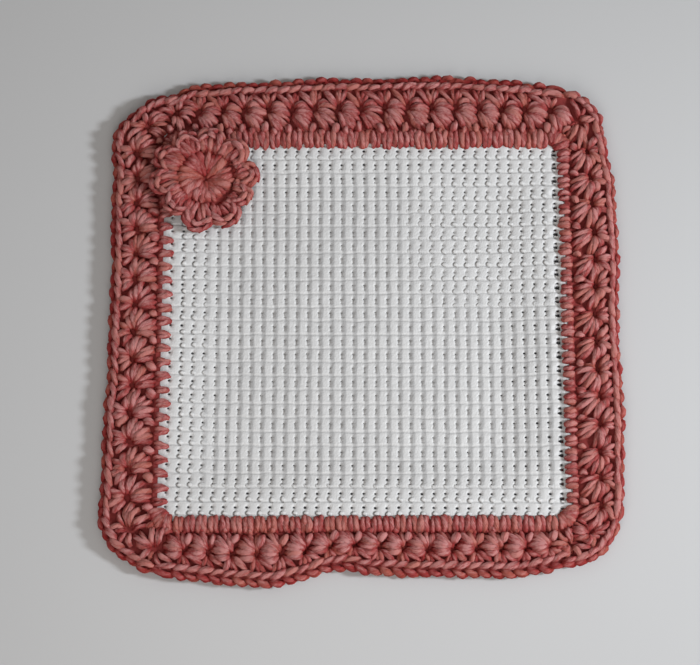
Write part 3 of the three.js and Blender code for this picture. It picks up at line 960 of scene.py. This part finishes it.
def border_strands():
    """The strands of each side with the corner after it: the front and the back."""
    stars = list_stars()
    holes = hole_steps()
    chain = chain_steps()
    groups = {}
    for part, corner in zip(RING_PARTS[::2], RING_PARTS[1::2]):
        start = PART_START[part.name]
        end = start + part.steps + corner.steps
        front = Strands(ring_place, FRONT_RINGS, FRONT_SIDES)
        back = Strands(ring_place, BACK_RINGS, BACK_SIDES)
        for step, pitch, side in holes:
            if start <= step % RING_STEPS < end:
                single_legs(front, step, pitch, side)
                if side.pitch < ROW_PITCH:
                    between_legs(front, step, pitch, side)
        for step, scale, side in chain:
            if start <= step < end:
                edge_chain(front, step, scale, side)
                edge_side(front, step, scale, side)
        for star in stars:
            if not start <= star["eye"] < end:
                continue
            for leaf in FANS[star["kind"]] + [SLANTED[star["kind"]]]:
                add_leaf(front, star, leaf)
            for leaf in CROWNS[star["kind"]]:
                add_leaf(front, star, leaf, ends=(0.6, 0.6))
            for leaf in SMALL_TOPS[star["kind"]] + [SINGLE_TOPS[star["kind"]]]:
                add_leaf(front, star, leaf, ends=(0.6, 0.6), size=1.0)
            back_stitches(back, star)
        groups[part.name] = (front, back)
    return groups


def closed_ring(name, rings):
    """A mesh from closed sections that follow each other round a ring."""
    count, size = rings.shape[:2]
    number = np.arange(count * size).reshape(count, size)
    ahead = np.roll(number, -1, axis=0)
    corners = [number, ahead, np.roll(ahead, -1, axis=1), np.roll(number, -1, axis=1)]
    faces = np.stack(corners, axis=-1).reshape(-1, 4)
    return add_mesh(name, rings, faces.tolist(), CORE)


def liner_reach(steps):
    """How far the liner reaches under the border: a rib at the sides, a row at the top and bottom."""
    _, y, _ = ring_place(np.stack([steps, 0 * steps, 0 * steps], axis=-1)).T
    return np.where(np.abs(y) < WINDOW_Y - 0.1, RIB_PITCH, ROW_PITCH)


CORE_STEP = 0.5
LINER_CLEARANCE = 0.4


def make_core():
    """A plain closed ring inside the stitches, which closes their gaps; its dark colour is painted shade."""
    steps = np.arange(0, RING_STEPS, CORE_STEP)
    width = border_width(steps)
    inner = liner_reach(steps) + LINER_CLEARANCE
    section = [
        (inner, 3.9), (inner - 1.0, 3.95), (inner - 1.0, 4.1), (inner + 0.6, 4.15), (inner + 1.5, 3.5),
        (0.5 * inner + 0.25 * width, 3.5), (0.53 * width, 3.4), (0.63 * width, 3.3), (0.73 * width, 3.6),
        (width - 3.4, 3.7), (width - 2.0, 2.9), (width - 1.9, 1.4), (0.6 * width, 1.3), (inner, 1.5),
    ]
    rings = [
        ring_place(np.stack([steps, out, np.full_like(steps, height)], axis=-1)) for out, height in section
    ]
    return closed_ring("border_core", np.stack(rings, axis=1))


# Flower


def flower_rest(x, y):
    """Height of what the flower lies on: the border, then down to the liner."""
    in_x = fade(x + WINDOW_X, DROOP_START, DROOP_LENGTH)
    in_y = fade(WINDOW_Y - y, DROOP_START, DROOP_LENGTH)
    return BORDER_REST + (liner_base(x, y) + LINER_REST - BORDER_REST) * in_x * in_y


PETAL_TURNS = np.array([turn for turn, _ in PETALS], float)
PETAL_REACHES = np.array([reach for _, reach in PETALS])


def flower_reach(degrees):
    before, after, way = between(np.mod(degrees, 360), PETAL_TURNS, 360)
    notch = NOTCH_DEPTH * (1 - np.abs(np.cos(np.pi * way)))
    return PETAL_REACHES[before] + (PETAL_REACHES[after] - PETAL_REACHES[before]) * way - notch


def flower_place(line):
    """Turns degrees, radius and height over what the flower lies on into a place."""
    angle = np.radians(line[..., 0])
    x = FLOWER_X + line[..., 1] * np.cos(angle)
    y = FLOWER_Y + line[..., 1] * np.sin(angle)
    return np.stack([x, y, flower_rest(x, y) + line[..., 2]], axis=-1)


def flower_strand(strands, rows, ends=(0.6, 0.7), taper=0.4, **how):
    points = [(d + jitter(1.9), r + jitter(0.35), h + jitter(0.25)) for d, r, h in rows]
    strands.add(points, ends=ends, taper=taper, **how)


# The flower's middle: the first spoke's direction, the reach of all, and how far round the stitch beside
# one is
FIRST_SPOKE = 8
SPOKE_REACH = 9.5
BESIDE = 14

# Petals: their posts, how much these fan out at the foot, and the gap inside some of them, which faces one
# way. Their rim: stitches to a petal, and the path of each, along as a share, slant and lift, on two rows.
# A row has how far in it is, how much it slants, the height of its foot, and how far it rises, more in the
# petal's middle. The rim is tucked in where it nears a notch
PETAL_POSTS = 5
POST_FAN = 0.85
FLOWER_GAP = {"turn": -18, "reach": 0.55, "width": 1.3}
RIM_STITCHES = 3
RIM_PATH = [(-0.25, -1, 0.0), (0.1, -0.6, 0.75), (0.5, 0, 1.0), (0.9, 0.6, 0.8), (1.3, 1, 0.0)]
RimRow = namedtuple("RimRow", "inwards slant foot rise bend")
RIM_ROWS = [RimRow(1.0, -0.3, 1.1, 1.1, 0.6), RimRow(3.1, 0.5, 1.6, 1.4, 0.7)]
RIM_PAST_NOTCH = 0.02
TUCK = {"depth": 1.2, "start": 0.8, "length": 0.2}


def flower_disc(strands):
    """The middle: a broad soft stitch for each spoke, and a thinner one between each two."""
    for spoke in range(SPOKES):
        middle = 360 * spoke / SPOKES + FIRST_SPOKE + jitter(4)
        lift = jitter(0.35)
        reach = SPOKE_REACH + jitter(0.7)
        broad = [
            (middle, 0.8, 0.7), (middle, 2.3, 1.7), (middle, 5.0, 2.3 + lift),
            (middle + 1, 0.8 * reach, 2.7 + lift), (middle + 2, reach, 1.2),
        ]
        radius = 2.05 + jitter(0.2)
        flower_strand(strands, broad, radius=radius, ends=(0.28, 0.75), taper=0.75, flat=0.62)
        beside = middle + BESIDE + jitter(3)
        thin = [
            (beside, 2.5, 1.1), (beside, 4.5, 1.8), (beside + 1, 6.8, 2.2 - lift),
            (beside + 2, reach - 0.4, 2.0), (beside + 3, reach + 0.4, 1.2),
        ]
        flower_strand(strands, thin, radius=1.1, ends=(0.4, 0.7))


def flower_petal(strands, middle, first, last):
    """One petal, from notch to notch: its posts, and the two rows of its rim."""
    span = last - first
    tall = jitter(0.4)
    for post in range(PETAL_POSTS):
        angle = first + span * (post + 0.5) / PETAL_POSTS
        foot = middle + (angle - middle) * POST_FAN
        reach = float(flower_reach(angle))
        lift = jitter(0.5)
        in_gap = math.cos(math.radians(angle - FLOWER_GAP["turn"])) > FLOWER_GAP["reach"]
        away = FLOWER_GAP["width"] if in_gap else 0.0
        rows = [
            (foot, 9.4 + away, 0.9), (foot, 10.8 + away, 2.1 + lift),
            ((foot + angle) / 2, 0.64 * reach, 2.6 + lift), (angle, 0.79 * reach, 2.5 + lift),
            (angle, 0.89 * reach, 1.6),
        ]
        flower_strand(strands, rows, radius=1.15, flat=0.9)
    for stitch in range(RIM_STITCHES):
        shift = jitter(0.35)
        for row in RIM_ROWS:
            points = []
            for share, slant, lift in RIM_PATH:
                way = (stitch + share) / RIM_STITCHES
                near = min(max(way, -RIM_PAST_NOTCH), 1 + RIM_PAST_NOTCH)
                angle = first + span * near
                tuck = TUCK["depth"] * max(0.0, abs(2 * way - 1) - TUCK["start"]) / TUCK["length"]
                edge = float(flower_reach(angle)) + shift - tuck
                bend = math.sin(math.pi * min(max(near, 0), 1))
                height = row.foot + (row.rise + row.bend * bend + tall) * lift
                points.append((angle, edge - row.inwards + row.slant * slant, height))
            flower_strand(strands, points, radius=1.0, ends=(0.6, 0.6))


def flower_strands():
    strands = Strands(flower_place, FRONT_RINGS, FRONT_SIDES)
    flower_disc(strands)
    count = len(PETALS)
    for number in range(count):
        middle = PETALS[number][0]
        before = PETALS[number - 1][0] - (360 if number == 0 else 0)
        after = PETALS[(number + 1) % count][0] + (360 if number == count - 1 else 0)
        flower_petal(strands, middle, (before + middle) / 2, (middle + after) / 2)
    return strands


# Section of the closed shape under the flower's stitches, coloured dark as painted shade in their gaps:
# share of the flower's reach, and height
FLOWER_CORE = [
    (0.002, 0.4), (0.6, 0.4), (0.9, 0.5), (0.93, 1.1), (0.84, 1.7), (0.55, 1.4), (0.42, 1.9), (0.2, 1.3),
    (0.002, 0.7),
]
FLOWER_CORE_TURN = 5.0


def make_flower_core():
    degrees = np.arange(0, 360, FLOWER_CORE_TURN)
    rings = []
    for share, height in FLOWER_CORE:
        line = np.stack([degrees, share * flower_reach(degrees), np.full_like(degrees, height)], axis=-1)
        rings.append(flower_place(line))
    return closed_ring("flower_shade_core", np.stack(rings, axis=1))


# Liner: one cell of the mesh, from the middle of one rib gap to the next and from one crease down to the
# next. The table gives each row of a cell: its distance below the crease, and its height as a share of the
# rib's height on each column, first where the ribs stand out and then where the beads between the rows do
CELL_COLUMNS = [0.0, 0.65, 1.3, 3.0, 3.7]
Row = namedtuple("Row", "down ribs beads")
RIB_FACE = (0.96, 0.965, 0.99, 1.0, 0.97)
CELL_ROWS = [
    Row(0.0, (0.90, 0.91, 0.93, 0.93, 0.92), (0.87, 0.88, 0.90, 0.90, 0.88)),
    Row(0.55, (0.95, 0.96, 0.985, 0.99, 0.98), (0.92, 0.93, 0.96, 0.96, 0.94)),
    Row(1.65, RIB_FACE, (0.90, 0.91, 0.98, 0.98, 0.92)),
    Row(2.15, RIB_FACE, (0.90, 0.91, 1.0, 1.0, 0.92)),
    Row(2.65, RIB_FACE, (0.90, 0.91, 1.0, 1.0, 0.92)),
    Row(3.5, RIB_FACE, (0.92, 0.93, 1.0, 0.98, 0.93)),
    Row(4.05, (0.97, 0.975, 1.0, 1.0, 0.98), (0.95, 0.97, 0.97, 0.95, 0.93)),
    Row(4.55, (0.96, 0.98, 1.01, 1.01, 1.0), (0.98, 1.0, 0.97, 0.94, 0.93)),
    Row(4.9, (0.93, 0.94, 0.97, 0.98, 0.96), (0.94, 0.95, 0.94, 0.92, 0.91)),
]
GAP_FLOOR = 0.2
RIBS = WINDOW_RIBS + 2
ROWS = WINDOW_ROWS + 2
PER_RIB = len(CELL_COLUMNS)
PER_ROW = len(CELL_ROWS)

# Holes: the rows of a cell that each kind spans, its half width and half height where it is wide open, how
# far it lies and strays from the rib gap, and its least and largest scale. Where the beads take more than a
# share of the cell it has no lower hole. At the right edge both kinds are pulled wider and come to a point
Hole = namedtuple("Hole", "rows wide tall")
ROUND_HOLE = Hole((2, 3, 4), 0.5, 0.42)
LOWER_HOLE = Hole((5, 6), 0.36, 0.2)
HOLE_SHIFT = -0.3
HOLE_STRAY = 0.12
HOLE_SCALES = (0.85, 1.15)
MANY_BEADS = 0.4
RIGHT_HOLES = [(0.75, 0.42), (1.3, 0.62)]
RIGHT_POINT = 0.5
ROUND_CORNER = 0.72

# Where the beads show: each area fades over a start and a length, in millimetres from an edge of the
# window, or as shares of its half width and height at the top right. Then how far the holes are open, and
# the strip beside the left edge that has neither beads nor painted grey shade bands
BEADS_LEFT = (4, 16)
BEADS_BOTTOM = (3, 14)
BEADS_TOP = (-14, 10)
BEADS_RIGHT = (0.05, 0.5)
BEADS_HIGH = (-0.1, 0.5)
TOP_RIGHT_SHARE = 0.85
TOP_SHARE = 0.5
OPEN = {"least": 0.38, "more": 0.67, "fade": (0.55, 0.4)}
BARE_STRIP = (1.6, 0.8)

# How far the stitches pull the cells out of their even grid, more and more below a height in the window.
# Last how far points stray from the grid and how rough the skin is
PULL_HEIGHT = 15
PULL_LEFT = {"most": 0.45, "less": 0.6}
PULL_DOWN = {"even": 0.15, "left": 0.25, "right": 0.75}
GRID_STRAY = 0.05
SKIN_STRAY = 0.03


def bead_share(x, y):
    """How far the beads between the rows stand out instead of the ribs: at the left, bottom and top right."""
    left = 1 - fade(x + WINDOW_X, *BEADS_LEFT)
    bottom = 1 - fade(y + WINDOW_Y, *BEADS_BOTTOM)
    top_right = TOP_RIGHT_SHARE * fade(x / WINDOW_X, *BEADS_RIGHT) * fade(y / WINDOW_Y, *BEADS_HIGH)
    top = TOP_SHARE * fade(y - WINDOW_Y, *BEADS_TOP)
    return np.maximum(np.maximum(left, bottom), np.maximum(top_right, top))


def open_share(x, y):
    """How far the holes are open: wide near the stitches that pull at the liner, small in its middle."""
    outwards = np.maximum(np.abs(x) / WINDOW_X, np.abs(y) / WINDOW_Y)
    return OPEN["least"] + OPEN["more"] * fade(outwards, *OPEN["fade"])


def pulled(x, y):
    """How far a point of the grid is pulled to the side and down: little at the top, most at the bottom."""
    low = np.clip((PULL_HEIGHT - y) / (WINDOW_Y + PULL_HEIGHT), 0, 1)
    right = (x / WINDOW_X + 1) / 2
    across = -PULL_LEFT["most"] * low**2 * (1 - PULL_LEFT["less"] * right)
    return across, -PULL_DOWN["even"] - low * (PULL_DOWN["left"] + PULL_DOWN["right"] * right)


def liner_grid():
    """Places of the mesh's points, how far beads show there, and the height of its upper and lower side."""
    across = np.arange(RIBS * PER_RIB + 1)
    down = np.arange(ROWS * PER_ROW + 1)
    column = across % PER_RIB
    row = down % PER_ROW
    x = -LINER_X + (across // PER_RIB) * RIB_PITCH + np.array(CELL_COLUMNS)[column]
    y = LINER_Y - (down // PER_ROW) * ROW_PITCH - np.array([cell.down for cell in CELL_ROWS])[row]
    gx, gy = np.meshgrid(x, y)
    beads = bead_share(gx, gy)
    ribbed = np.array([cell.ribs for cell in CELL_ROWS])[row[:, None], column[None, :]]
    beaded = np.array([cell.beads for cell in CELL_ROWS])[row[:, None], column[None, :]]
    top = RIB_THICKNESS * (ribbed * (1 - beads) + beaded * beads)
    low = np.where(column == 0, GAP_FLOOR, 0.0)[None, :] * np.ones((len(down), 1))
    return gx, gy, beads, top, low


def move_hole(gx, gy, rows, centre, place, size, point):
    """Moves the points round a hole's middle onto its rim, which can come to a point at the left."""
    for number, row in enumerate(rows):
        rise = 1 - 2 * number / (len(rows) - 1)
        for side in (-1, 0, 1):
            if side == 0 and rise == 0:
                continue
            corner = ROUND_CORNER if side and rise else 1.0
            gx[row, centre + side] = place[0] + side * corner * size[0]
            gy[row, centre + side] = place[1] + rise * (corner + point * side) * size[1]


def open_holes(gx, gy):
    """Shapes the rim of every hole, and says which squares of the grid stay closed."""
    y = gy[:, 0].copy()
    keep = np.ones((len(gx) - 1, len(gx[0]) - 1), bool)
    for rib in range(1, RIBS):
        centre = rib * PER_RIB
        last = rib == RIBS - 1
        for first in range(0, ROWS * PER_ROW, PER_ROW):
            middle = (gx[first, centre], y[first + ROUND_HOLE.rows[1]])
            wide = float(open_share(*middle))
            lone = float(bead_share(*middle)) > MANY_BEADS and not last
            for kind, hole in enumerate((ROUND_HOLE,) if lone else (ROUND_HOLE, LOWER_HOLE)):
                rows = [first + k for k in hole.rows]
                place_x = middle[0] + HOLE_SHIFT + jitter(HOLE_STRAY)
                place_y = (y[rows[0]] + y[rows[-1]]) / 2 + jitter(HOLE_STRAY)
                scale = RNG.uniform(*HOLE_SCALES)
                size = RIGHT_HOLES[kind] if last else (hole.wide * wide, hole.tall * wide)
                size = (size[0] * scale, size[1] * scale)
                move_hole(gx, gy, rows, centre, (place_x, place_y), size, RIGHT_POINT if last else 0.0)
                keep[rows[0]:rows[-1], centre - 1:centre + 1] = False
    return keep


def sheet_faces(keep):
    """Faces of both sides of a sheet, then the walls of its edge and its holes, and how many walls there are."""
    shape = (keep.shape[0] + 1, keep.shape[1] + 1)
    count = shape[0] * shape[1]
    number = np.arange(count).reshape(shape)
    quads = np.stack([number[1:, :-1], number[1:, 1:], number[:-1, 1:], number[:-1, :-1]], -1)[keep]
    edges = np.concatenate([quads[:, [k, (k + 1) % 4]] for k in range(4)]).tolist()
    known = {(a, b) for a, b in edges}
    rim = np.array([(a, b) for a, b in edges if (b, a) not in known])
    walls = np.stack([rim[:, 1], rim[:, 0], rim[:, 0] + count, rim[:, 1] + count], axis=-1)
    return np.concatenate([quads, quads[:, ::-1] + count, walls]), len(walls)


def make_liner():
    """The foam mesh. Each of its points knows its place in the even grid, and what the cell shows there."""
    gx, gy, beads, top, low = liner_grid()
    gx += RNG.normal(0, GRID_STRAY, gx.shape)
    faces, walls = sheet_faces(open_holes(gx, gy))
    # Beside the left edge the cells get neither beads nor the painted grey shade bands
    bare = fade(gx + WINDOW_X, *BARE_STRIP)
    cell = np.stack([gx + LINER_X, LINER_Y - gy, beads * bare - (1 - bare)], axis=-1).reshape(-1, 3)
    pull_x, pull_y = pulled(gx, gy)
    gx += pull_x
    gy += pull_y
    bumps = RNG.normal(0, SKIN_STRAY, gx.shape)
    base = liner_base(gx, gy)
    heights = (base + top + bumps, base + low)
    points = np.stack([np.stack([gx, gy, height], axis=-1) for height in heights])
    used, order = np.unique(faces, return_inverse=True)
    order = order.reshape(faces.shape)
    piece = add_mesh("grip_liner", points.reshape(-1, 3)[used], order.tolist(), FOAM)
    set_values(piece.data, "cell", np.tile(cell, (2, 1))[used])
    piece.data.polygons.foreach_set("use_smooth", np.arange(len(faces)) < len(faces) - walls)
    return piece


# The object


def dress(piece, node):
    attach(piece, "root")
    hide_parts(node)


# Height under the stitches, over what they lie on: the floor of the relief that sets the yarn's painted
# shade and highlight
BORDER_FLOOR = 4.1
FLOWER_FLOOR = 2.4


def table(x, y):
    return 0.0


sides = border_strands()
fronts = [front for front, _ in sides.values()]
# The relief places the yarn's colour between painted shade deep between the stitches and painted highlight on
# their crests
relief = Relief(fronts, BORDER_FLOOR, table, middle=0.52, depth=2.5)
for name, (front, back) in sides.items():
    dress(front.build(f"border_{name}", YARN, relief.crest), "border")
    dress(back.build(f"border_back_{name}", YARN, back_crest), "border")
dress(make_core(), "border")

petals = flower_strands()
relief = Relief([petals], FLOWER_FLOOR, flower_rest, middle=0.6, depth=2.8)
dress(petals.build("flower_stitches", FLOWER_YARN, relief.crest), "flower")
dress(make_flower_core(), "flower")

liner = make_liner()
dress(liner, "liner")


# Floor and light


FLOOR_HALF = 1.5
FLOOR_COLOUR = (0.522, 0.528, 0.543)


def add_floor():
    mesh = bpy.data.meshes.new("floor")
    corners = [(x * FLOOR_HALF, y * FLOOR_HALF, 0) for x, y in ((-1, -1), (1, -1), (1, 1), (-1, 1))]
    mesh.from_pydata(corners, [], [(0, 1, 2, 3)])
    mesh.materials.append(Nodes("floor", Base_Color=FLOOR_COLOUR, Roughness=0.7).material)
    link(bpy.data.objects.new("floor", mesh))


# Lights: direction in degrees round from +X and above the floor, distance and size in metres, power, the
# angle that the light spreads over, how far to the right of the middle it is aimed, in millimetres, and its
# colour
Light = namedtuple("Light", "name turn rise distance size power spread aim colour")
LIGHTS = [
    Light("key", -9, 32, 0.85, 0.14, 1.5, 90, 40, (0.93, 0.97, 1.0)),
    Light("fill", -95, 40, 0.5, 0.4, 0.29, 90, 0, (1.0, 0.965, 0.92)),
]
SKY_COLOUR = (1.0, 0.95, 0.89)
SKY_STRENGTH = 0.34


def add_lights():
    for row in LIGHTS:
        data = bpy.data.lights.new(row.name, "AREA")
        data.shape = "DISK"
        data.size = row.size
        data.energy = row.power
        data.spread = math.radians(row.spread)
        data.color = row.colour
        light = link(bpy.data.objects.new(row.name, data))
        turn = math.radians(row.turn)
        rise = math.radians(row.rise)
        toward = Vector((math.cos(rise) * math.cos(turn), math.cos(rise) * math.sin(turn), math.sin(rise)))
        light.location = toward * row.distance
        away = light.location - Vector((row.aim * MM, 0, 0))
        light.rotation_euler = away.to_track_quat("Z", "Y").to_euler()
    world = bpy.data.worlds.new("world")
    world.use_nodes = True
    background = world.node_tree.nodes["Background"]
    background.inputs[0].default_value = (*SKY_COLOUR, 1)
    background.inputs[1].default_value = SKY_STRENGTH
    bpy.context.scene.world = world
    bpy.context.scene.view_settings.view_transform = "Standard"


add_floor()
add_lights()
